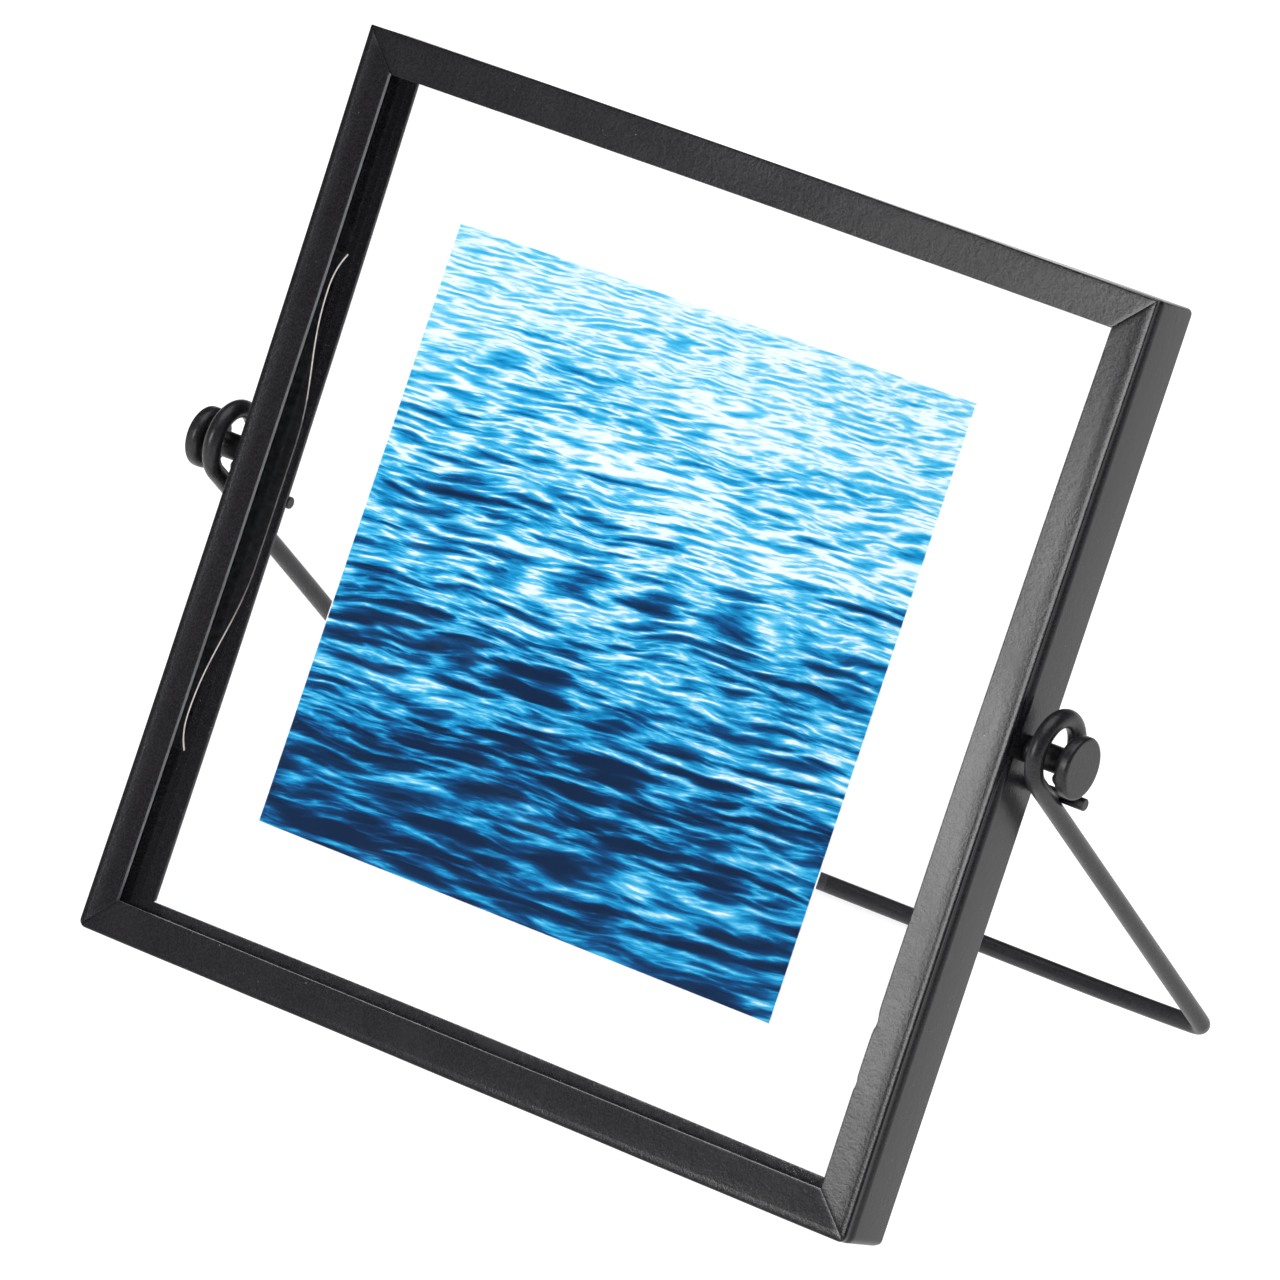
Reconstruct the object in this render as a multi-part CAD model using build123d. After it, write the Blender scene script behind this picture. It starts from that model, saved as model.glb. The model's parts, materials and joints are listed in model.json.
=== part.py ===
from build123d import *
import math
import os

# Tabletop floating frame: a square frame of mitred sheet-metal channel holds two glass panes with
# a print between them, and a bent-wire stand hangs on a stud at each side and props it up.
#
# Every piece is drawn with the frame upright: X to the right, Y from the front face to the back,
# Z up the frame, with the bottom outer edge at Z 0 and the front face at Y 0. place() then leans
# it back onto the table. All sizes are in millimetres.

# Frame
SIDE = 152.4  # outer width and height
DEPTH = 11.4  # front face to back face
SHEET = 0.7
BEND = 1.1  # outer radius where a lip turns from the web
FRONT_LIP = 6.4
BACK_LIP = 6.8
CUT_EDGE = 0.12  # rounding of the lips' cut edges
MITRE_GAP = 0.03
FOLD = 1.3  # radius of the two bottom outer corners
BEAD_LEG = 1.6  # weld bead inside each corner
BEAD_START = 5.3
BEAD_END = 10.2

# Panes and print
PANE = 147.4
PANE_THICK = 2.0
PANE_SEAM = 0.4  # ground edge of the glass
PANE_LIFT = 0.05
PRINT_WIDTH = 100.4
PRINT_HEIGHT = 101.6
PRINT_THICK = 0.2
PRINT_X = 0.5
PRINT_Z = 77.0

# Bow springs, between the back pane and the back lips
SPRING_THICK = 0.4
SPRING_WIDTH = 5.0
SPRING_CENTRE = 74.0
SPRING_GAP = 0.03
SPRING_EDGE = 0.5  # from the spring's side to the rail's web
SPRING_TIP = 42.2  # tip, foot and flat: distances along the rail from the spring's middle
SPRING_FOOT = 36.0
SPRING_FLAT = 10.0
TIP_LIFT = 2.4
TIP_ANGLE = 42.0

# Pivot studs
STUD_Y = 5.7
STUD_Z = 80.5
SHANK_R = 2.15
HEAD_R = 5.1
HEAD_THICK = 2.5
HEAD_ROUND = 0.7
HEAD_FACE = 9.6  # from the frame's side to the head's outer face
TENON_R = 1.5
TENON_PLAY = 0.03
WASHER_R = 3.5
WASHER_THICK = 0.5
TAIL_R = 2.4
TAIL_THICK = 0.7

# Wire stand
WIRE_R = 1.5
LEG_X = 79.5  # from the stand's own middle
STAND_SLIDE = 1.7  # how far the stand has slid to the right along its studs
LOOP_R = 5.7
LOOP_Y = 5.15
LOOP_Z = 81.35
LOOP_GAP = 0.2  # between the loop's cut end and the leg
BAR_Y = 85.6
BAR_Z = 41.7
CORNER_R = 2.4
WIRE_END = 0.3

# Stop pins, welded across the back lips
PIN_R = 1.0
PIN_LAND = 0.1  # how far the weld flattens the pin
PIN_INNER = 68.5
PIN_OUTER = 85.4
PIN_ROUND = 0.2
STOP_GAP = 0.06

HALF = SIDE / 2
BACK_INSIDE = DEPTH - SHEET
PANES_BACK = SHEET + 2 * PANE_THICK + PRINT_THICK

# The leg leaves the loop at a tangent and runs straight to the bar.
BAR_REACH = math.hypot(BAR_Y - LOOP_Y, BAR_Z - LOOP_Z)
LEG_ANGLE = math.atan2(BAR_Z - LOOP_Z, BAR_Y - LOOP_Y) + math.asin(LOOP_R / BAR_REACH)
LEG_Y = math.cos(LEG_ANGLE)
LEG_Z = math.sin(LEG_ANGLE)
TANGENT = LEG_ANGLE - math.pi / 2

# The frame rests on the table along its bottom back bend, and the stand along its bar.
FOOT_Y = DEPTH - BEND
FOOT_Z = BEND
FOOT_TO_BAR = math.hypot(BAR_Y - FOOT_Y, BAR_Z - FOOT_Z)
LEAN = math.atan2(BAR_Z - FOOT_Z, BAR_Y - FOOT_Y) - math.asin((WIRE_R - BEND) / FOOT_TO_BAR)
TABLE = FOOT_Z * math.cos(LEAN) - FOOT_Y * math.sin(LEAN) - BEND
FRONT_END = BEND * (math.cos(LEAN) + math.sin(LEAN)) - BEND
BACK_END = BAR_Y * math.cos(LEAN) + BAR_Z * math.sin(LEAN) + WIRE_R
MIDDLE = (FRONT_END + BACK_END) / 2


def place(shape):
    """Leans a piece back onto the table; the origin is under the middle of the whole object."""
    return Location((0, -MIDDLE, -TABLE)) * Rot(-math.degrees(LEAN), 0, 0) * shape


def prism(outline):
    """Runs an outline drawn in X and Z right through the frame's depth."""
    return extrude(Plane.XZ * outline, amount=2 * DEPTH, both=True)


def rod(radius, inner, outer):
    """A round bar along X between two distances from the frame's middle."""
    return Pos((inner + outer) / 2, 0, 0) * Rot(0, 90, 0) * Cylinder(radius, outer - inner)


def mirrored(shape):
    return mirror(shape, about=Plane.YZ)


def channel():
    """The bottom rail before its ends are cut: a web with a lip at the front and at the back."""
    corner = (Align.MIN, Align.MIN)
    outer = Rectangle(DEPTH, BACK_LIP, align=corner)
    outer = fillet(outer.vertices().sort_by(Axis.Y)[:2], BEND)
    inner = Pos(SHEET, SHEET) * Rectangle(DEPTH - 2 * SHEET, 2 * BACK_LIP, align=corner)
    inner = fillet(inner.vertices().sort_by(Axis.Y)[:2], BEND - SHEET)
    section = outer - inner - Pos(-DEPTH / 2, FRONT_LIP) * Rectangle(DEPTH, BACK_LIP, align=corner)
    section = fillet(section.vertices().filter_by(lambda v: v.Y >= FRONT_LIP), CUT_EDGE)
    return extrude(Plane.YZ * section, amount=HALF, both=True)


def rail(turn):
    """The bottom rail, mitred at 45 degrees and turned about the frame's middle."""
    foot = HALF - MITRE_GAP
    top = foot - 2 * FRONT_LIP
    mitre = Polygon((-foot, 0), (foot, 0), (top, 2 * FRONT_LIP), (-top, 2 * FRONT_LIP), align=None)
    cut = channel() & prism(mitre)
    turned = Pos(0, 0, HALF) * Rot(0, turn, 0) * Pos(0, 0, -HALF) * cut
    square = Rectangle(SIDE, SIDE, align=(Align.CENTER, Align.MIN))
    square = fillet(square.vertices().sort_by(Axis.Y)[:2], FOLD)
    return turned & prism(square)


def side_rail(turn):
    """A side rail, with the hole that the stud's tenon passes through."""
    hole = Pos(0, STUD_Y, STUD_Z) * rod(TENON_R + TENON_PLAY, HALF - 2 * SHEET, HALF + SHEET)
    if turn > 0:
        hole = mirrored(hole)
    return rail(turn) - hole


def weld_bead(turn):
    """The bead that joins two webs inside a corner, behind the panes."""
    inside = HALF - SHEET
    bead = Polygon((0, 0), (BEAD_LEG, 0), (0, BEAD_LEG), align=None)
    solid = extrude(Plane.XZ * bead, amount=-(BEAD_END - BEAD_START))
    return Pos(0, 0, HALF) * Rot(0, turn, 0) * Pos(-inside, BEAD_START, -inside) * solid


def pane(front):
    """A square of glass with ground edges, standing in the bottom rail."""
    glass = chamfer(Box(PANE, PANE_THICK, PANE).edges(), PANE_SEAM)
    return Pos(0, front + PANE_THICK / 2, SHEET + PANE_LIFT + PANE / 2) * glass


def photo_print():
    sheet = Box(PRINT_WIDTH, PRINT_THICK, PRINT_HEIGHT)
    return Pos(PRINT_X, SHEET + PANE_THICK + PRINT_THICK / 2, PRINT_Z) * sheet


def bow_spring():
    """Flat spring in the left rail: its feet press on the glass and its middle on the back lip."""
    skin = SPRING_THICK / 2 + SPRING_GAP
    foot = PANES_BACK + skin
    back = BACK_INSIDE - skin
    x = -HALF + SHEET + SPRING_EDGE + SPRING_WIDTH / 2
    tip = Vector(x, foot + TIP_LIFT, SPRING_CENTRE - SPRING_TIP)
    low_foot = Vector(x, foot, SPRING_CENTRE - SPRING_FOOT)
    flat = Vector(x, back, SPRING_CENTRE - SPRING_FLAT)
    middle = Vector(x, back, SPRING_CENTRE)
    along = Vector(0, 0, 1)
    curl = Vector(0, -math.sin(math.radians(TIP_ANGLE)), math.cos(math.radians(TIP_ANGLE)))
    path = Wire(
        [
            Spline([tip, low_foot], tangents=[curl, along]),
            Spline([low_foot, flat], tangents=[along, along]),
            Line(flat, middle),
        ]
    )
    strip = Plane(path @ 0, x_dir=(1, 0, 0), z_dir=path % 0) * Rectangle(SPRING_WIDTH, SPRING_THICK)
    lower = sweep(strip, path=path)
    upper = mirror(lower, about=Plane.XY.offset(SPRING_CENTRE))
    return lower + upper


def stud():
    """Right-hand pivot stud: head, shank, and the tenon peened over inside the rail."""
    inside = HALF - SHEET - WASHER_THICK
    head = rod(HEAD_R, HALF + HEAD_FACE - HEAD_THICK, HALF + HEAD_FACE)
    head = fillet(head.edges().filter_by(GeomType.CIRCLE), HEAD_ROUND)
    shank = rod(SHANK_R, HALF, HALF + HEAD_FACE - HEAD_THICK / 2)
    tenon = rod(TENON_R, inside, HALF)
    tail = rod(TAIL_R, inside - TAIL_THICK, inside)
    tail = fillet(tail.edges().filter_by(GeomType.CIRCLE).sort_by(Axis.X)[:1], TAIL_THICK / 2)
    return Pos(0, STUD_Y, STUD_Z) * (head + shank + tenon + tail)


def washer():
    """Washer under the right-hand stud's peened tail."""
    inside = HALF - SHEET
    disc = rod(WASHER_R, inside - WASHER_THICK, inside)
    hole = rod(TENON_R + TENON_PLAY, inside - 2 * WASHER_THICK, inside + WASHER_THICK)
    return Pos(0, STUD_Y, STUD_Z) * (disc - hole)


def stop_pin():
    """Right-hand pin on the back lip, level with the leg that comes to rest against it."""
    y = DEPTH + PIN_R - PIN_LAND
    reach = WIRE_R + PIN_R + STOP_GAP
    z = LOOP_Z + (reach - LOOP_R + LEG_Z * (y - LOOP_Y)) / LEG_Y
    pin = rod(PIN_R, PIN_INNER, PIN_OUTER)
    pin = fillet(pin.edges().filter_by(GeomType.CIRCLE), PIN_ROUND)
    return (Pos(0, y, z) * pin) - Box(2 * SIDE, 2 * DEPTH, 2 * SIDE)


def loop_point(x, angle):
    return Vector(x, LOOP_Y + LOOP_R * math.cos(angle), LOOP_Z + LOOP_R * math.sin(angle))


def loop(x):
    """The open ring round a stud, from its cut end to where the leg leaves it."""
    closing = math.acos((2 * WIRE_R + LOOP_GAP) / LOOP_R - 1)
    end = TANGENT + math.pi - closing
    sweep_angle = end - TANGENT
    middle = TANGENT + (sweep_angle - 2 * math.pi) / 2
    return ThreePointArc(loop_point(x, end), loop_point(x, middle), loop_point(x, TANGENT))


def stand_wire():
    """One wire bent into a loop, a leg, the bar on the table, the other leg and its loop."""
    leg = Vector(0, LEG_Y, LEG_Z)
    across = Vector(1, 0, 0)
    left = Vector(-LEG_X, BAR_Y, BAR_Z)
    right = Vector(LEG_X, BAR_Y, BAR_Z)
    slant = CORNER_R * (1 - math.sqrt(0.5))
    path = Wire(
        [
            loop(-LEG_X),
            Line(loop_point(-LEG_X, TANGENT), left - leg * CORNER_R),
            ThreePointArc(
                left - leg * CORNER_R,
                left - leg * slant + across * slant,
                left + across * CORNER_R,
            ),
            Line(left + across * CORNER_R, right - across * CORNER_R),
            ThreePointArc(
                right - across * CORNER_R,
                right - leg * slant - across * slant,
                right - leg * CORNER_R,
            ),
            Line(right - leg * CORNER_R, loop_point(LEG_X, TANGENT)),
            loop(LEG_X),
        ]
    )
    section = Plane(path @ 0, z_dir=path % 0) * Circle(WIRE_R)
    wire = sweep(section, path=path)
    ends = wire.faces().filter_by(GeomType.PLANE).edges()
    return Pos(STAND_SLIDE, 0, 0) * fillet(ends, WIRE_END)


def nodes():
    pieces = {
        "rail_bottom": rail(0),
        "rail_top": rail(180),
        "rail_left": side_rail(90),
        "rail_right": side_rail(-90),
        "weld_bottom_left": weld_bead(0),
        "weld_top_left": weld_bead(90),
        "weld_top_right": weld_bead(180),
        "weld_bottom_right": weld_bead(270),
        "front_pane": pane(SHEET),
        "back_pane": pane(SHEET + PANE_THICK + PRINT_THICK),
        "photo_print": photo_print(),
        "stand_wire": stand_wire(),
    }
    right_hand = {"stud": stud(), "washer": washer(), "stop_pin": stop_pin()}
    for name, piece in right_hand.items():
        pieces[name + "_right"] = piece
        pieces[name + "_left"] = mirrored(piece)
    pieces["spring_left"] = bow_spring()
    pieces["spring_right"] = mirrored(pieces["spring_left"])
    return pieces


os.makedirs("parts", exist_ok=True)
for name, piece in nodes().items():
    export_step(place(piece), f"parts/{name}.step")
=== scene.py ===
"""A black metal floating frame on its wire easel, on a pale studio floor."""

import json
import math

import bpy
from mathutils import Matrix, Vector, noise


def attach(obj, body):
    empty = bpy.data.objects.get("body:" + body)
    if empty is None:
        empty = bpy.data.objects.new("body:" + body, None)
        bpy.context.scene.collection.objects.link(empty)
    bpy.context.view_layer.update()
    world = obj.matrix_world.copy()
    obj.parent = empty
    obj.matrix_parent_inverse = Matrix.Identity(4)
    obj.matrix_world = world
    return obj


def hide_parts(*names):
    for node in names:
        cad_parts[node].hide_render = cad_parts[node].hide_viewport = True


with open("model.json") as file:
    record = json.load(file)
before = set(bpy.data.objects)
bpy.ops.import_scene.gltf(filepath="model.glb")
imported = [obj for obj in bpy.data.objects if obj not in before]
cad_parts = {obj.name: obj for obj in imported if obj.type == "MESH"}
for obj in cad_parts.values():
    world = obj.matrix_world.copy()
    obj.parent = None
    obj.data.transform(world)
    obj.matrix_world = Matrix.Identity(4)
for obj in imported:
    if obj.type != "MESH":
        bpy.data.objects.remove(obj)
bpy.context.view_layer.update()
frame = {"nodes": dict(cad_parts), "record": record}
MM = 0.001

# ---------------------------------------------------------------------------------------------
# The frame leans back. These axes stand with it: X to the right, Y from its front face to its
# back, Z up its face. The origin is at the middle of its bottom outer edge, on the front face.
# ---------------------------------------------------------------------------------------------
MOUNTS = {mount["name"]: mount for mount in frame["record"]["mounts"]}
ACROSS = Vector((1, 0, 0))
BACKWARD = Vector(MOUNTS["back_face"]["axis"])
UPWARD = ACROSS.cross(BACKWARD)


def reach(node, axis):
    """How far a CAD node reaches along an axis: (lowest, highest)."""
    along = [vertex.co.dot(axis) for vertex in frame["nodes"][node].data.vertices]
    return min(along), max(along)


def print_size():
    """The print's width and height in millimetres."""
    left, right = reach("photo_print", ACROSS)
    low, high = reach("photo_print", UPWARD)
    return (right - left) / MM, (high - low) / MM


FRONT, BACK = reach("rail_bottom", BACKWARD)
BOTTOM, _ = reach("rail_bottom", UPWARD)
_, TOP = reach("rail_top", UPWARD)
SIDE = (TOP - BOTTOM) / MM
DEPTH = (BACK - FRONT) / MM
HALF = SIDE / 2
ORIGIN = BACKWARD * FRONT + UPWARD * BOTTOM
LEANING = Matrix.Translation(ORIGIN) @ Matrix((ACROSS, BACKWARD, UPWARD)).transposed().to_4x4()


def standing(x, y, z):
    """A point given in millimetres along the leaning axes, as a point of the scene."""
    return LEANING @ Vector((x * MM, y * MM, z * MM))


def new_mesh(name, points, faces, material, smooth=True):
    """A mesh object with one material, linked into the scene."""
    mesh = bpy.data.meshes.new(name)
    mesh.from_pydata([tuple(point) for point in points], [], faces)
    mesh.validate()
    mesh.polygons.foreach_set("use_smooth", [smooth] * len(mesh.polygons))
    mesh.materials.append(material)
    piece = bpy.data.objects.new(name, mesh)
    bpy.context.scene.collection.objects.link(piece)
    return piece


def skin(rings, around):
    """The faces that join each ring of points to the next one."""
    faces = []
    for i in range(rings - 1):
        for k in range(around):
            a, b = i * around + k, i * around + (k + 1) % around
            faces.append((a, b, b + around, a + around))
    return faces


# ---------------------------------------------------------------------------------------------
# Materials
# ---------------------------------------------------------------------------------------------
class Nodes:
    """A short way to write a node tree: add() makes a node, sets its inputs and links others."""

    def __init__(self, name):
        self.material = bpy.data.materials.new(name)
        self.material.use_nodes = True
        self.tree = self.material.node_tree
        self.tree.nodes.clear()

    def add(self, kind, inputs=None, **settings):
        """A shader node. Its inputs are plain values or other nodes' outputs."""
        node = self.tree.nodes.new("ShaderNode" + kind)
        for key, value in settings.items():
            setattr(node, key, value)
        for key, value in (inputs or {}).items():
            if isinstance(value, bpy.types.NodeSocket):
                self.tree.links.new(value, node.inputs[key])
            else:
                node.inputs[key].default_value = value
        return node

    def math(self, operation, *values):
        return self.add("Math", dict(enumerate(values)), operation=operation).outputs[0]

    def ramp(self, fac, stops):
        """Colours given at places between 0 and 1, blended in between."""
        node = self.add("ValToRGB", {"Fac": fac})
        elements = node.color_ramp.elements
        while len(elements) < len(stops):
            elements.new(0.5)
        for element, (position, colour) in zip(elements, stops):
            element.position = position
            element.color = (*colour, 1)
        return node.outputs["Color"]

    def noise(self, vector, scale, detail=3.0, roughness=0.55, distortion=0.0):
        """Soft noise between 0 and 1, with as many bumps to the metre as scale says."""
        inputs = {
            "Vector": vector,
            "Scale": scale,
            "Detail": detail,
            "Roughness": roughness,
            "Distortion": distortion,
        }
        return self.add("TexNoise", inputs).outputs["Fac"]

    def place(self):
        """Where a point is on the piece, in metres."""
        return self.add("TexCoord").outputs["Object"]

    def finish(self, surface):
        self.add("OutputMaterial", {"Surface": surface})
        return self.material


WORN_COAT = (0.05, 0.05, 0.055, 1)
# light grey painted onto the front lip's cut edge as a highlight
EDGE_HIGHLIGHT_GREY = (0.2, 0.21, 0.22, 1)
DUST = (0.4, 0.4, 0.4, 1)
COAT_IOR = 1.41
GRAIN_HEIGHT = 0.06 * MM
FLOOR_GLOW = 1.08
PRINT_WIDTH, PRINT_HEIGHT = print_size()
SEA_HORIZON = 1.33  # height of the horizon, in heights of the print: it lies above the picture
SEA_ACROSS = 9.0  # how many waves side by side, at one print's height below the horizon
SEA_AWAY = 50.0  # how many waves one behind the other
SEA_LEAN = -0.45  # how much the waves lean
SEA_SLOPE = 2.2  # how strongly the light and dark flanks of the waves show
SEA_CREST = 2.0  # how strongly their crests show
# how light the water is, and how much its light and dark differ: (place up the print, value)
SEA_MEAN = [
    (0.0, 0.31),
    (0.18, 0.34),
    (0.32, 0.45),
    (0.44, 0.57),
    (0.56, 0.68),
    (0.69, 0.78),
    (0.81, 0.86),
    (1.0, 0.89),
]
SEA_SPREAD = [(0.0, 0.27), (0.3, 0.29), (0.6, 0.25), (0.8, 0.18), (1.0, 0.11)]


def grey(value):
    return (value, value, value)


def coated_metal(name, colour, roughness, grain, specks, smudges):
    """Black powder coat: a fine sandy grain, uneven gloss, faint handling marks, dust, and a
    painted highlight along the front lip's cut edge.
    """
    n = Nodes(name)
    place = n.place()
    sand = n.noise(place, 2500, 2, 0.6)
    peel = n.noise(place, 800, 3, 0.55)
    patches = n.noise(place, 90, 3, 0.6)
    rub = n.noise(place, 260, 5, 0.7, 1.2)
    # gloss, uneven in broad patches and where hands have rubbed it
    gloss = n.math("ADD", n.math("MULTIPLY", patches, 0.1), roughness - 0.05)
    rubbed_gloss = n.math("MULTIPLY", n.math("SUBTRACT", rub, 0.5), 0.15 * smudges)
    gloss = n.math("ADD", gloss, rubbed_gloss)
    # colour: gritty, a little worn, with specks of dust, and a painted highlight of light grey over
    # the sheet's cut edge
    grit = n.ramp(sand, [(0.36, [0.6 * c for c in colour]), (0.66, [1.9 * c for c in colour])])
    worn = n.ramp(rub, [(0.0, grey(0)), (0.64, grey(0)), (0.85, grey(1))])
    worn = n.math("MULTIPLY", worn, 0.4 * smudges)
    base = n.add("MixRGB", {"Fac": worn, "Color1": grit, "Color2": WORN_COAT})
    dust = n.ramp(n.noise(place, 1700, 1, 0.4), [(0.0, grey(0)), (0.79, grey(0)), (0.82, grey(1))])
    dust = n.math("MULTIPLY", dust, specks)
    base = n.add("MixRGB", {"Fac": dust, "Color1": base.outputs[0], "Color2": DUST})
    # painted highlight: the cut edge's faces are blended towards light grey, more where the rub
    # noise is high
    thin = n.add("Attribute", attribute_name="painted_edge_highlight").outputs["Fac"]
    thin = n.math("MULTIPLY", thin, n.math("MULTIPLY_ADD", rub, 0.9, 0.35))
    base = n.add("MixRGB", {"Fac": thin, "Color1": base.outputs[0], "Color2": EDGE_HIGHLIGHT_GREY})
    # the grain itself is stronger in some places than in others
    height = n.math("ADD", sand, n.math("MULTIPLY", peel, 1.2))
    uneven = n.math("MULTIPLY", n.noise(place, 28, 2), 2.0 * grain)
    bump = n.add("Bump", {"Strength": uneven, "Distance": GRAIN_HEIGHT, "Height": height})
    shader = n.add(
        "BsdfPrincipled",
        {
            "Base Color": base.outputs[0],
            "Roughness": gloss,
            "IOR": COAT_IOR,
            "Normal": bump.outputs[0],
        },
    )
    return n.finish(shader.outputs[0])


def clear_glass(name):
    """Clear float glass, faintly green in its depth, with a few finger marks."""
    n = Nodes(name)
    marks = n.noise(n.place(), 45, 4, 0.6, 0.8)
    marks = n.ramp(marks, [(0.0, grey(0)), (0.6, grey(0)), (0.8, grey(0.05))])
    shader = n.add(
        "BsdfPrincipled",
        {
            "Base Color": (0.99, 0.993, 0.993, 1),
            "Roughness": marks,
            "IOR": 1.5,
            "Transmission Weight": 1.0,
        },
    )
    through = n.add("BsdfTransparent", {"Color": (0.94, 0.945, 0.945, 1)})
    shadow = n.add("LightPath").outputs["Is Shadow Ray"]
    mixed = n.add("MixShader", {0: shadow, 1: shader.outputs[0], 2: through.outputs[0]})
    return n.finish(mixed.outputs[0])


def spring_steel(name):
    """Blued strip, nearly black on its flats and bright where its edges were sheared."""
    n = Nodes(name)
    place = n.place()
    mottled = n.noise(place, 800, 5, 0.65)
    flat = n.ramp(mottled, [(0.3, (0.012, 0.014, 0.016)), (0.7, (0.06, 0.065, 0.07))])
    bare = n.ramp(mottled, [(0.3, (0.5, 0.46, 0.42)), (0.7, (0.95, 0.9, 0.84))])
    facing = n.add("SeparateXYZ", {0: n.add("TexCoord").outputs["Normal"]}).outputs["X"]
    sheared = n.ramp(n.math("ABSOLUTE", facing), [(0.75, grey(0)), (0.95, grey(1))])
    colour = n.add("MixRGB", {"Fac": sheared, "Color1": flat, "Color2": bare})
    rough = n.math("ADD", n.math("MULTIPLY", mottled, 0.3), 0.25)
    shader = n.add(
        "BsdfPrincipled", {"Base Color": colour.outputs[0], "Metallic": 0.7, "Roughness": rough}
    )
    return n.finish(shader.outputs[0])


def sea_print(name):
    """A print of open water: fine bright ripples far off, long dark swell close by."""
    n = Nodes(name)
    split = n.add("SeparateXYZ", {0: n.place()})
    up = n.math("DIVIDE", split.outputs["Z"], PRINT_HEIGHT * MM)
    side = n.math("DIVIDE", split.outputs["X"], PRINT_WIDTH * MM)
    # the water lies flat, so its waves shrink towards the horizon
    near = n.math("SUBTRACT", SEA_HORIZON, up)
    across = n.math("MULTIPLY", n.math("DIVIDE", side, near), SEA_ACROSS)
    away = n.math("MULTIPLY", n.math("LOGARITHM", near, math.e), -SEA_AWAY)

    def at(x_scale, y_scale, x_shift, y_shift, pushed=0.0):
        """A place on the water, stretched, shifted and pushed away."""
        x = n.math("MULTIPLY_ADD", across, x_scale, x_shift)
        y = n.math("MULTIPLY_ADD", away, y_scale, y_shift)
        y = n.math("ADD", y, pushed)
        return n.add("CombineXYZ", {0: x, 1: y}).outputs[0]

    # the crests wander and lean, a long swell over a shorter one
    long_swell = n.noise(at(0.3, 0.1, 5.0, 2.0), 1.0, 2, 0.5)
    short_swell = n.noise(at(0.55, 0.28, 1.0, 9.0), 1.0, 2, 0.5)
    lean = n.math("MULTIPLY", across, SEA_LEAN)
    long_push = n.math("MULTIPLY", long_swell, 2.8)
    push = n.math("ADD", long_push, n.math("MULTIPLY", short_swell, 1.1))
    push = n.math("ADD", push, lean)

    def water(shift):
        """The height of the water, seen a little further away or nearer."""
        slow = n.math("MULTIPLY", push, 0.5)
        coarse = n.noise(at(0.36, 0.5, 3.0, shift * 0.5, slow), 1.0, 4, 0.55, 0.15)
        fine = n.noise(at(0.95, 1.2, 7.0, shift * 1.2, push), 1.0, 5, 0.58, 0.1)
        return n.math("MULTIPLY_ADD", coarse, 1.5, fine)

    slope = n.math("SUBTRACT", water(0.22), water(-0.22))
    crests = n.add(
        "TexNoise",
        {
            "Vector": at(0.6, 0.8, 2.0, 4.0, n.math("MULTIPLY", push, 0.8)),
            "Scale": 1.0,
            "Detail": 5.0,
            "Roughness": 0.6,
            "Lacunarity": 2.1,
            "Offset": 0.9,
            "Gain": 1.6,
            "Distortion": 0.08,
        },
        noise_type="RIDGED_MULTIFRACTAL",
        normalize=True,
    ).outputs["Fac"]
    crests = n.math("SUBTRACT", crests, 0.74)
    patches = n.noise(at(0.16, 0.2, 11.0, 6.0, n.math("MULTIPLY", push, 0.2)), 1.0, 3, 0.5, 0.1)
    patches = n.math("MULTIPLY", n.math("SUBTRACT", patches, 0.5), 3.6)
    signal = n.math("MULTIPLY", slope, SEA_SLOPE)
    signal = n.math("MULTIPLY_ADD", crests, SEA_CREST, signal)
    signal = n.math("ADD", n.math("ADD", signal, patches), -0.55)
    # from the dark swell at the foot of the picture to the pale ripples at its top
    mean = n.ramp(up, [(place, grey(value)) for place, value in SEA_MEAN])
    spread = n.ramp(up, [(place, grey(value)) for place, value in SEA_SPREAD])
    tone = n.math("MULTIPLY_ADD", signal, spread, mean)
    colour = n.ramp(
        tone,
        [
            (0.0, (0.0, 0.012, 0.044)),
            (0.16, (0.0, 0.022, 0.074)),
            (0.35, (0.001, 0.06, 0.185)),
            (0.55, (0.004, 0.235, 0.475)),
            (0.68, (0.042, 0.365, 0.585)),
            (0.78, (0.13, 0.445, 0.645)),
            (0.88, (0.37, 0.585, 0.71)),
            (1.0, (0.65, 0.72, 0.76)),
        ],
    )
    shader = n.add(
        "BsdfPrincipled",
        {"Base Color": colour, "Roughness": 0.5, "Specular IOR Level": 0.03},
    )
    return n.finish(shader.outputs[0])


def paper(name):
    """White paper with a faint fibre."""
    n = Nodes(name)
    fibre = n.noise(n.place(), 3000, 3)
    colour = n.ramp(fibre, [(0.3, (0.78, 0.79, 0.80)), (0.7, (0.86, 0.87, 0.88))])
    shader = n.add("BsdfPrincipled", {"Base Color": colour, "Roughness": 0.55})
    return n.finish(shader.outputs[0])


def lit_floor(name):
    """A white acrylic table top lit from below, so that hardly a shadow falls on it."""
    n = Nodes(name)
    tint = n.noise(n.place(), 30, 2)
    glow = n.ramp(tint, [(0.0, grey(0.96)), (1.0, grey(1.0))])
    shader = n.add(
        "BsdfPrincipled",
        {
            "Base Color": (0.25, 0.25, 0.25, 1),
            "Roughness": 0.6,
            "Emission Color": glow,
            "Emission Strength": FLOOR_GLOW,
        },
    )
    return n.finish(shader.outputs[0])


RAIL_COAT = coated_metal("rail_coat", (0.009, 0.008, 0.010), 0.26, 0.32, 0.3, 0.2)
WIRE_COAT = coated_metal("wire_coat", (0.013, 0.012, 0.014), 0.34, 0.35, 0.3, 0.3)
STUD_COAT = coated_metal("stud_coat", (0.012, 0.012, 0.013), 0.36, 0.25, 0.3, 0.3)
GLASS = clear_glass("pane_glass")
STEEL = spring_steel("spring_steel")
SEA = sea_print("sea_print")
PAPER = paper("print_paper")

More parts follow.
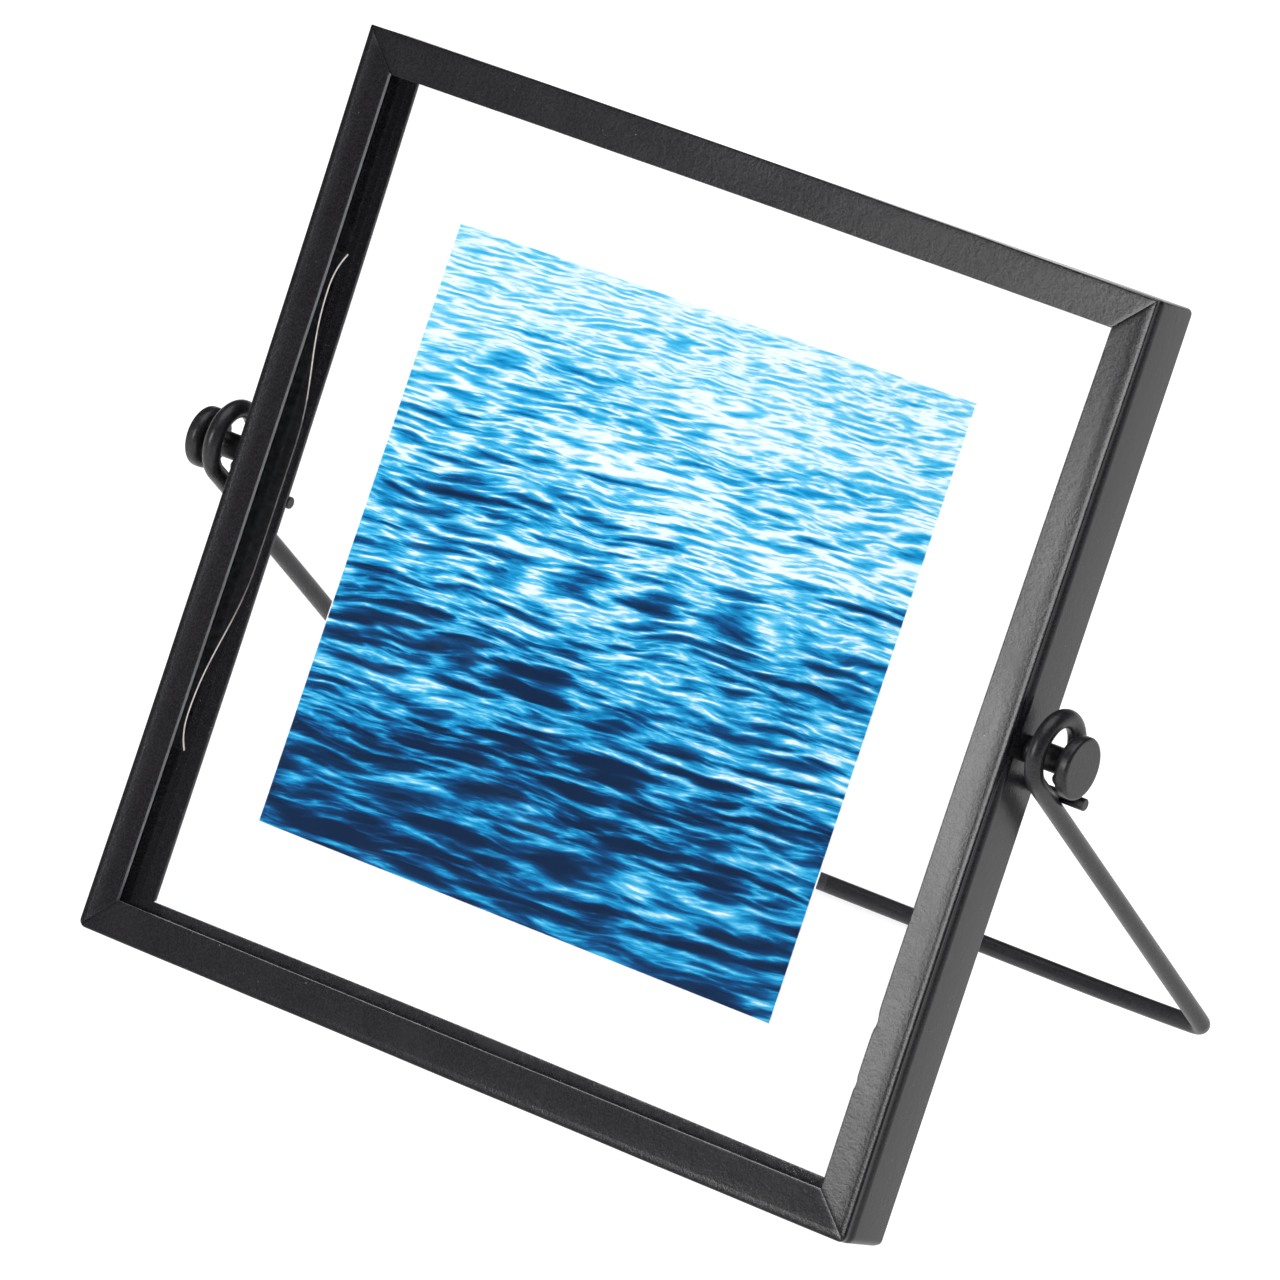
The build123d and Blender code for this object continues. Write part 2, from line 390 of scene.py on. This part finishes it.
# ---------------------------------------------------------------------------------------------
# Rails. Each is a mitred channel, folded from sheet: its front and back lips and its outer side.
# They run anticlockwise, as seen from the front.
# ---------------------------------------------------------------------------------------------
SHEET = 0.66
FRONT_LIP = 6.4
BACK_LIP = 6.2
BACK_BEND = 0.6
MITRE_GAP = 0.04
TIP = 0.2
LIP_MIDDLE = 5.0
LIP_START = 3.6  # how far in the lips begin to differ in width
FLARE_START = 1.4  # how far in the front lip begins to open
SEAM_DIP = 0.05  # the weld seam, ground a little below the lips, and how wide it is
SEAM_DIP_REACH = 0.35
LIP_WAVE = 0.03
SIDE_WAVE = 0.04
EDGE_ROUND = 0.1
STATIONS = 200
CROWDING = 0.46

# The rail's front bend stands a little proud as a ridge, with a crease behind it. Its outer surface
# is drawn as (distance in from the outer face, depth), from the flat of the lip to the flat side.
RIDGE = [
    (3.3, 0.05),
    (2.6, 0.038),
    (2.0, 0.01),
    (1.5, -0.022),
    (1.05, -0.046),
    (0.7, -0.045),
    (0.4, -0.01),
    (0.17, 0.065),
    (0.05, 0.18),
    (0.018, 0.4),
    (0.018, 0.6),
    (0.028, 0.85),
    (0.024, 1.15),
    (0.0, 1.5),
    (0.0, 2.4),
    (0.0, 3.2),
]
RIDGE_END = 0.9  # the ridge ends at this depth, and the flat side starts
SIDE_START = 2.0

# The welded frame isn't quite square. How far each corner stands from its true place, to the right
# and up, for the ridge and for the side behind it, and how round the corner is at either.
CORNERS = {
    "bottom_left": {"ridge": (1.02, -0.3), "side": (0.5, -0.3), "round": (1.3, 1.3)},
    "bottom_right": {"ridge": (0.2, -0.55), "side": (0.6, -0.5), "round": (1.3, 1.3)},
    "top_right": {"ridge": (-0.25, -0.25), "side": (0.2, -0.1), "round": (0.2, 1.0)},
    "top_left": {"ridge": (0.35, 0.2), "side": (0.25, 0.1), "round": (0.15, 1.0)},
}


def smooth_line(points, steps):
    """Points along a curve that passes smoothly through the given ones."""
    ends = [points[0]] + points + [points[-1]]
    line = []
    for a, b, c, d in zip(ends, ends[1:], ends[2:], ends[3:]):
        for k in range(steps):
            t = k / steps
            line.append(
                tuple(
                    0.5 * (2 * q + (r - p) * t + (2 * p - 5 * q + 4 * r - s) * t * t
                           + (3 * q - p - 3 * r + s) * t**3)
                    for p, q, r, s in zip(a, b, c, d)
                )
            )
    line.append(points[-1])
    return line


def arc(centre, radius, start, end, steps):
    """Points along an arc; the angles are in degrees."""
    cx, cy = centre
    angles = [math.radians(start + (end - start) * k / steps) for k in range(steps + 1)]
    return [(cx + radius * math.cos(a), cy + radius * math.sin(a)) for a in angles]


def channel_outline():
    """The rail's outer surface, lip tip to lip tip."""
    flat = RIDGE[0][1]
    front = [(FRONT_LIP, flat), (FRONT_LIP - TIP, flat), (LIP_MIDDLE, flat)]
    back = arc((BACK_BEND, DEPTH - BACK_BEND), BACK_BEND, 180, 90, 8)
    back += [(LIP_START, DEPTH), (BACK_LIP - TIP, DEPTH), (BACK_LIP, DEPTH)]
    return front + smooth_line(RIDGE, 4) + back


def inner_side(outline):
    """The outline moved inwards by the thickness of the sheet."""
    inner = []
    for k, (x, y) in enumerate(outline):
        ax, ay = outline[max(k - 1, 0)]
        bx, by = outline[min(k + 1, len(outline) - 1)]
        length = math.hypot(bx - ax, by - ay)
        inner.append((x + (by - ay) / length * SHEET, y - (bx - ax) / length * SHEET))
    return inner


def mix3(values, t):
    """Start, middle and end values joined by a parabola; t runs from 0 to 1."""
    start, middle, end = values
    return start + (4 * middle - 3 * start - end) * t + 2 * (start + end - 2 * middle) * t * t


def blend(low, high, value):
    """0 below low, 1 above high, and a smooth rise between them."""
    share = min(1.0, max(0.0, (value - low) / (high - low)))
    return share * share * (3 - 2 * share)


def corner_place(name, sideways):
    """Where a corner is: on the ridge with sideways 0, on the flat side with sideways 1."""
    corner = CORNERS[name]
    true_place = Vector((HALF if "right" in name else -HALF, SIDE if "top" in name else 0.0))
    ridge, side = Vector(corner["ridge"]), Vector(corner["side"])
    radius = corner["round"][0] + (corner["round"][1] - corner["round"][0]) * sideways
    return true_place + ridge.lerp(side, sideways), radius


def rounded(u, v, radius):
    """Rounds a corner; u and v are the distances in from the two outer faces that meet there."""
    a, b = radius - u, radius - v
    if a <= 0 or b <= 0:
        return u, v
    shrink = max(a, b) / math.hypot(a, b)
    return radius - a * shrink, radius - b * shrink


def rail(name, start, end, bow, proud, flare, front_lip, back_lip, fold=(1, 1, 1), nicks=()):
    """One mitred rail from corner to corner.

    bow is how far its middle is pulled in, at the ridge and at the side. proud is how much of the
    ridge's height it has. flare is how many degrees its front lip opens outwards. fold is how far
    back the crease behind the ridge lies. Flare, fold and the lips' widths are given at the start,
    middle and end of the rail. nicks are chips in the front lip: (place along, depth, length).
    """

    def point(t, inward, depth):
        """The point of the rail's section that lies at t, from 0 to 1 along the rail."""
        sideways = blend(RIDGE_END, SIDE_START, depth)
        first, first_round = corner_place(start, sideways)
        last, last_round = corner_place(end, sideways)
        length = (last - first).length
        along = (last - first) / length
        inwards = Vector((-along.y, along.x))
        in_front = depth < DEPTH / 2
        lip, plain = (front_lip, FRONT_LIP) if in_front else (back_lip, BACK_LIP)
        width = mix3(lip, t)
        if in_front:
            for where, deep, long in nicks:
                width -= deep * math.exp(-(((t * length - where) / long) ** 2))
        u = inward + (width - plain) * max(0.0, (inward - LIP_START) / (plain - LIP_START))
        u_bow = (bow[0] + (bow[1] - bow[0]) * sideways) * 4 * t * (1 - t)
        margin = u + MITRE_GAP
        v = margin + t * (length - 2 * margin)
        seam = min(v - u, length - u - v)
        settled = blend(0, RIDGE[-1][1], depth)
        y = depth * (settled + (1 - settled) * mix3(fold, t))
        y += LIP_WAVE * noise.noise((v * 0.04, length + 7, inward * 0.2))
        if depth < RIDGE[0][1]:
            y += (RIDGE[0][1] - depth) * (1 - proud)
        if in_front:
            y += SEAM_DIP * math.exp(-seam / SEAM_DIP_REACH)
            y -= math.tan(math.radians(mix3(flare, t))) * max(0.0, inward - FLARE_START)
        if t < 0.5:
            u, v = rounded(u, v, first_round)
            place = first + inwards * (u + u_bow) + along * v
        else:
            u, v = rounded(u, length - v, last_round)
            place = last + inwards * (u + u_bow) - along * v
        place += inwards * SIDE_WAVE * noise.noise((v * 0.05, length, depth * 0.1))
        return standing(place.x, y, place.y)

    outline = channel_outline()
    section = outline + inner_side(outline)[::-1]
    points = []
    for i in range(STATIONS + 1):
        share = 2 * i / STATIONS - 1
        # the stations crowd towards the corners
        t = (share * (1 + CROWDING - CROWDING * share * share) + 1) / 2
        points += [point(t, inward, depth) for inward, depth in section]
    ring = len(section)
    faces = skin(STATIONS + 1, ring)
    # the section's last face is the front lip's cut edge, which carries the painted highlight
    edge_highlight_faces = [1.0 if k % ring == ring - 1 else 0.0 for k in range(len(faces))]
    far = STATIONS * ring
    for a in range(len(outline) - 1):
        b, c, d = a + 1, ring - 2 - a, ring - 1 - a
        faces.append((a, d, c, b))
        faces.append((far + a, far + b, far + c, far + d))
    edge_highlight_faces += [0.0] * (len(faces) - len(edge_highlight_faces))
    piece = new_mesh(name, points, faces, RAIL_COAT)
    # this attribute marks the faces that carry the painted edge highlight
    thin = piece.data.attributes.new("painted_edge_highlight", "FLOAT", "FACE")
    thin.data.foreach_set("value", edge_highlight_faces)
    edges = piece.modifiers.new("edges", "BEVEL")
    edges.width = EDGE_ROUND * MM
    edges.segments = 2
    edges.limit_method = "ANGLE"
    edges.angle_limit = math.radians(50)
    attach(piece, "frame")
    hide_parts("rail_" + name.split("_")[1])


rail(
    "shell_bottom",
    "bottom_left",
    "bottom_right",
    bow=(0.0, 0.0),
    proud=0.45,
    flare=(4.2, 4.2, 4.2),
    front_lip=(6.25, 6.35, 6.6),
    back_lip=(6.95, 7.3, 7.1),
)
rail(
    "shell_right",
    "bottom_right",
    "top_right",
    bow=(0.3, 0.1),
    proud=1.0,
    flare=(4.2, 2.6, -1.0),
    front_lip=(6.7, 6.47, 6.3),
    back_lip=(6.2, 6.2, 6.2),
    fold=(1.0, 0.75, 0.45),
    nicks=[(30.0, 0.35, 1.3), (19.0, 0.2, 0.8)],
)
rail(
    "shell_top",
    "top_right",
    "top_left",
    bow=(-0.38, -0.1),
    proud=0.15,
    flare=(0.0, 0.0, 0.0),
    front_lip=(6.3, 6.65, 6.6),
    back_lip=(6.2, 6.2, 6.2),
)
rail(
    "shell_left",
    "top_left",
    "bottom_left",
    bow=(0.6, 0.2),
    proud=1.0,
    flare=(2.5, 2.5, 2.5),
    front_lip=(6.4, 5.9, 5.9),
    back_lip=(6.2, 6.95, 7.2),
)

# ---------------------------------------------------------------------------------------------
# The print, just clear of the glass on both sides
# ---------------------------------------------------------------------------------------------
PRINT_PLAY = 0.02
# how far the hand-cut corners stand from a true rectangle, to the right and up
PRINT_CUT = [(-0.2, -0.15), (0.05, 0.25), (-0.05, 0.3), (0.55, -0.35)]
FRINGE = 0.18  # the bare paper round the picture


def print_sheet():
    """A thin sheet with rounded-off paper edges; the picture stops a hair short of them."""
    half = PRINT_WIDTH / 2
    front, back = ((value - FRONT) / MM for value in reach("photo_print", BACKWARD))
    front += PRINT_PLAY
    back -= PRINT_PLAY
    low = (reach("photo_print", UPWARD)[0] - BOTTOM) / MM
    middle_x = sum(reach("photo_print", ACROSS)) / 2
    true_corners = [(-half, 0), (half, 0), (half, PRINT_HEIGHT), (-half, PRINT_HEIGHT)]
    corners = [(x + dx, z + dz) for (x, z), (dx, dz) in zip(true_corners, PRINT_CUT)]

    def ring(depth, inset):
        points = []
        for x, z in corners:
            dx = math.copysign(inset, -x)
            dz = math.copysign(inset, PRINT_HEIGHT / 2 - z)
            points.append(Vector((x + dx, depth, z + dz)) * MM)
        return points

    thick = back - front
    points = ring(0, FRINGE) + ring(0.3 * thick, 0) + ring(thick, 0)
    faces = [(0, 1, 2, 3), (8, 11, 10, 9)]
    faces += [face[::-1] for face in skin(3, 4)]
    piece = new_mesh("sea_picture", points, faces, SEA, smooth=False)
    piece.data.materials.append(PAPER)
    for face in piece.data.polygons[1:]:
        face.material_index = 1
    piece.matrix_world = LEANING @ Matrix.Translation((middle_x, front * MM, low * MM))
    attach(piece, "frame")
    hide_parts("photo_print")


print_sheet()

# ---------------------------------------------------------------------------------------------
# Pivot studs, turned on a lathe: a flat head with soft edges, a shank, and a peened tail inside
# ---------------------------------------------------------------------------------------------
HEAD_THICK = 2.5
HEAD_OUTER_ROUND = 0.55
HEAD_INNER_ROUND = 1.15
SHANK_RADIUS = 2.15
SHANK_FILLET = 0.35
TENON_RADIUS = 1.5
TAIL_RADIUS = 2.4
TAIL_ROUND = 0.35
HEAD_CROWN = 0.03  # the head's face is very slightly domed
HEAD_FLAT = 2.0  # radius of the dome's flat middle
SHOULDER_DEEP = 0.1  # how deep the shank's shoulder sits in the rail
LATHE_STEPS = 96
# how much further out, and how much lower, each stud was welded than its true place
STUD_OUT = {"left": -0.35, "right": 0.75}
STUD_LOW = {"left": -0.2, "right": 0.0}


def stud(side):
    """One stud, turned to an outline of (place along its axis, radius)."""
    node = "stud_" + side
    sign = 1 if side == "right" else -1
    near, far = sorted(abs(value) / MM for value in reach(node, ACROSS))
    axis_y = (sum(reach(node, BACKWARD)) / 2 - FRONT) / MM
    low, high = ((value - BOTTOM) / MM for value in reach(node, UPWARD))
    axis_z = (low + high) / 2 - STUD_LOW[side]
    radius = (high - low) / 2
    face = far + STUD_OUT[side]
    back = face - HEAD_THICK
    tail = near + 2 * TAIL_ROUND
    outer, inner = HEAD_OUTER_ROUND, HEAD_INNER_ROUND
    seat = HALF - SHOULDER_DEEP
    profile = [
        (face + HEAD_CROWN, 0.0),
        (face + 2 / 3 * HEAD_CROWN, HEAD_FLAT),
        (face, radius - outer - 0.4),
        *arc((face - outer, radius - outer), outer, 0, 90, 8),
        *arc((back + inner, radius - inner), inner, 90, 180, 10),
        (back, SHANK_RADIUS + 2 * SHANK_FILLET),
        (back, SHANK_RADIUS + SHANK_FILLET),
        (back - 0.1, SHANK_RADIUS + 0.1),
        (back - SHANK_FILLET, SHANK_RADIUS),
        (HALF + 1.0, SHANK_RADIUS),
        (seat, SHANK_RADIUS),
        (seat, TENON_RADIUS),
        (tail, TENON_RADIUS),
        (tail, TAIL_RADIUS),
        (near + TAIL_ROUND, TAIL_RADIUS),
        (near, TAIL_RADIUS - TAIL_ROUND),
        (near, 0.0),
    ]
    points = []
    for x, r in profile:
        for k in range(LATHE_STEPS):
            angle = 2 * math.pi * k / LATHE_STEPS
            y, z = axis_y + r * math.cos(angle), axis_z + r * math.sin(angle)
            points.append(standing(sign * x, y, z))
    faces = skin(len(profile), LATHE_STEPS)
    if side == "left":
        faces = [quad[::-1] for quad in faces]
    piece = new_mesh("turned_stud_" + side, points, faces, STUD_COAT)
    weld = piece.modifiers.new("weld", "WELD")
    weld.merge_threshold = 0.01 * MM
    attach(piece, "frame")
    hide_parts(node)


stud("left")
stud("right")

# ---------------------------------------------------------------------------------------------
# Wire stand: the CAD's loops and legs, a little splayed and bowed as they were bent by hand
# ---------------------------------------------------------------------------------------------
WIRE_RADIUS = 1.5
LOOP_RADIUS = 5.7
LOOP_Y = 5.15
LOOP_Z = 81.35
LOOP_GAP = 0.2
BAR_Y = 85.6
BAR_Z = 41.7
CORNER_RADIUS = 2.6
WIRE_SIDES = 28
CUT_ROUND = 0.35  # rounding of the wire's cut ends
LOOP_STEPS = 72
BEND_STEPS = 16
LEG_STEPS = 60
BAR_STRAIGHT = 52.0  # beyond this distance from the middle the bar bows up to its corners
# for each side: where the loop and the bar's corner are, how far the corner is drawn up the leg,
# how far the leg's middle is bowed inwards, and how far the loop's cut end is wound outwards
STAND_ENDS = {
    "left": {"loop_x": -79.1, "corner_x": -77.2, "drawn": 0.3, "bowed": 0.7, "wound": 0.2},
    "right": {"loop_x": 81.2, "corner_x": 80.9, "drawn": 1.3, "bowed": 0.0, "wound": 0.4},
}


def half_stand(loop_x, corner_x, drawn, bowed, wound):
    """The wire's centre line from the bar's middle to the cut end of one loop."""
    outwards = math.copysign(1.0, loop_x)
    to_bar = math.hypot(BAR_Y - LOOP_Y, BAR_Z - LOOP_Z)
    slope = math.atan2(BAR_Z - LOOP_Z, BAR_Y - LOOP_Y) + math.asin(LOOP_RADIUS / to_bar)
    down = Vector((0, math.cos(slope), math.sin(slope)))
    leaving = slope - math.pi / 2
    closing = math.acos((2 * WIRE_RADIUS + LOOP_GAP) / LOOP_RADIUS - 1)
    turn = math.pi + closing
    ring = []
    for k in range(LOOP_STEPS + 1):
        share = k / LOOP_STEPS
        angle = leaving - turn * share
        x = loop_x + outwards * wound * share
        y = LOOP_Y + LOOP_RADIUS * math.cos(angle)
        z = LOOP_Z + LOOP_RADIUS * math.sin(angle)
        ring.append(Vector((x, y, z)))

    def on_bar(x):
        rise = max(0.0, (x - BAR_STRAIGHT) / (abs(corner_x) - BAR_STRAIGHT)) ** 2
        return Vector((outwards * x, BAR_Y, BAR_Z)) - down * drawn * rise

    corner = on_bar(abs(corner_x))
    bar_end = abs(corner_x) - CORNER_RADIUS
    bend_from = on_bar(bar_end)
    bend_to = corner + (ring[0] - corner).normalized() * CORNER_RADIUS
    line = [on_bar(bar_end * k / LEG_STEPS) for k in range(LEG_STEPS)]
    for k in range(BEND_STEPS):
        t = k / BEND_STEPS
        line.append(bend_from * (1 - t) ** 2 + corner * 2 * t * (1 - t) + bend_to * t * t)
    for k in range(LEG_STEPS):
        t = k / LEG_STEPS
        bow = Vector((outwards * bowed * 4 * t * (1 - t), 0, 0))
        line.append(bend_to.lerp(ring[0], t) - bow)
    return line + ring


def tube(name, line, radius, sides, material):
    """A round wire along a line, with its cut ends slightly rounded."""
    steps = [(b - a).normalized() for a, b in zip(line, line[1:])]
    headings = [steps[0]] + [(a + b).normalized() for a, b in zip(steps, steps[1:])] + [steps[-1]]
    # each end as (distance in from the cut, how much thinner the wire is there)
    cut_end = [(0.0, CUT_ROUND), (0.1, 0.1), (CUT_ROUND, 0.0)]
    rings = [(line[0] + headings[0] * far, headings[0], radius - thin) for far, thin in cut_end]
    rings += [(point, heading, radius) for point, heading in zip(line[2:-2], headings[2:-2])]
    for far, thin in reversed(cut_end):
        rings.append((line[-1] - headings[-1] * far, headings[-1], radius - thin))
    side = headings[0].orthogonal().normalized()
    points = []
    for centre, heading, r in rings:
        side = (side - heading * side.dot(heading)).normalized()
        other = heading.cross(side)
        for k in range(sides):
            angle = 2 * math.pi * k / sides
            point = centre + (side * math.cos(angle) + other * math.sin(angle)) * r
            points.append(standing(*point))
    faces = skin(len(rings), sides)
    faces.append(tuple(reversed(range(sides))))
    faces.append(tuple(range((len(rings) - 1) * sides, len(rings) * sides)))
    return new_mesh(name, points, faces, material)


def stand():
    """The whole wire, from the left loop's cut end to the right one's."""
    left, right = half_stand(**STAND_ENDS["left"]), half_stand(**STAND_ENDS["right"])
    line = left[:0:-1] + right
    piece = tube("bent_wire", line, WIRE_RADIUS, WIRE_SIDES, WIRE_COAT)
    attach(piece, "stand")
    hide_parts("stand_wire")


stand()

# ---------------------------------------------------------------------------------------------
# CAD pieces that keep their shape
# ---------------------------------------------------------------------------------------------
FINISHES = {
    "front_pane": GLASS,
    "back_pane": GLASS,
    "stop_pin_left": WIRE_COAT,
    "stop_pin_right": WIRE_COAT,
    "spring_left": STEEL,
    "spring_right": STEEL,
    "washer_left": STEEL,
    "washer_right": STEEL,
}
for node_name, node in frame["nodes"].items():
    finish = FINISHES.get(node_name, RAIL_COAT)
    node.data.materials.clear()
    node.data.materials.append(finish)

# ---------------------------------------------------------------------------------------------
# Floor, light and camera
# ---------------------------------------------------------------------------------------------
FLOOR_HALF = 4
floor = new_mesh(
    "floor",
    [(x * FLOOR_HALF, y * FLOOR_HALF, 0) for x, y in [(-1, -1), (1, -1), (1, 1), (-1, 1)]],
    [(0, 1, 2, 3)],
    lit_floor("floor_acrylic"),
    smooth=False,
)


LIGHT_AIM = Vector((0, 0, 0.07))


def bearing(azimuth, elevation):
    """The direction from the object towards a place: azimuth turns right from the front."""
    az, el = math.radians(azimuth), math.radians(elevation)
    return Vector((math.sin(az) * math.cos(el), -math.cos(az) * math.cos(el), math.sin(el)))


def soft_light(name, azimuth, elevation, distance, size, power, colour=(1, 1, 1)):
    """A soft box, turned towards the middle of the frame."""
    lamp = bpy.data.lights.new(name, "AREA")
    lamp.shape = "RECTANGLE"
    lamp.size, lamp.size_y = size
    lamp.energy = power
    lamp.color = colour
    holder = bpy.data.objects.new(name, lamp)
    holder.location = LIGHT_AIM + bearing(azimuth, elevation) * distance
    holder.rotation_euler = (LIGHT_AIM - holder.location).to_track_quat("-Z", "Y").to_euler()
    bpy.context.scene.collection.objects.link(holder)


soft_light("front", -15, 25, 0.9, (0.3, 0.3), 4.0)
soft_light("overhead", 150, 82, 1.2, (1.2, 1.2), 11.0, (0.98, 0.955, 1.0))


def studio_world():
    """A dim room, lighter low down along the walls."""
    world = bpy.data.worlds.new("studio")
    world.use_nodes = True
    tree = world.node_tree
    place = tree.nodes.new("ShaderNodeTexCoord")
    split = tree.nodes.new("ShaderNodeSeparateXYZ")
    tree.links.new(place.outputs["Generated"], split.inputs[0])
    walls = tree.nodes.new("ShaderNodeValToRGB")
    walls.color_ramp.elements[0].position = 0.06
    walls.color_ramp.elements[0].color = (0.335, 0.325, 0.35, 1)
    walls.color_ramp.elements[1].position = 0.34
    walls.color_ramp.elements[1].color = (0.042, 0.041, 0.046, 1)
    tree.links.new(split.outputs["Z"], walls.inputs["Fac"])
    background = tree.nodes["Background"]
    tree.links.new(walls.outputs["Color"], background.inputs["Color"])
    background.inputs["Strength"].default_value = 1.0
    bpy.context.scene.world = world


studio_world()

VIEW_AZIMUTH = 34.922
VIEW_ELEVATION = 27.929
VIEW_ROLL = 2.769
VIEW_DISTANCE = 1.5383
VIEW_AIM = Vector((0.0006, -0.00255, 0.06466))
LENS = 273.65

camera = bpy.data.objects.new("camera", bpy.data.cameras.new("camera"))
camera.data.lens = LENS
camera.data.sensor_width = 36
camera.data.clip_start = 0.05
toward = bearing(VIEW_AZIMUTH, VIEW_ELEVATION)
turn = (-toward).to_track_quat("-Z", "Y").to_matrix().to_4x4()
roll = Matrix.Rotation(math.radians(VIEW_ROLL), 4, "Z")
camera.matrix_world = Matrix.Translation(VIEW_AIM + toward * VIEW_DISTANCE) @ turn @ roll
bpy.context.scene.collection.objects.link(camera)
bpy.context.scene.camera = camera
bpy.context.scene.view_settings.view_transform = "Standard"
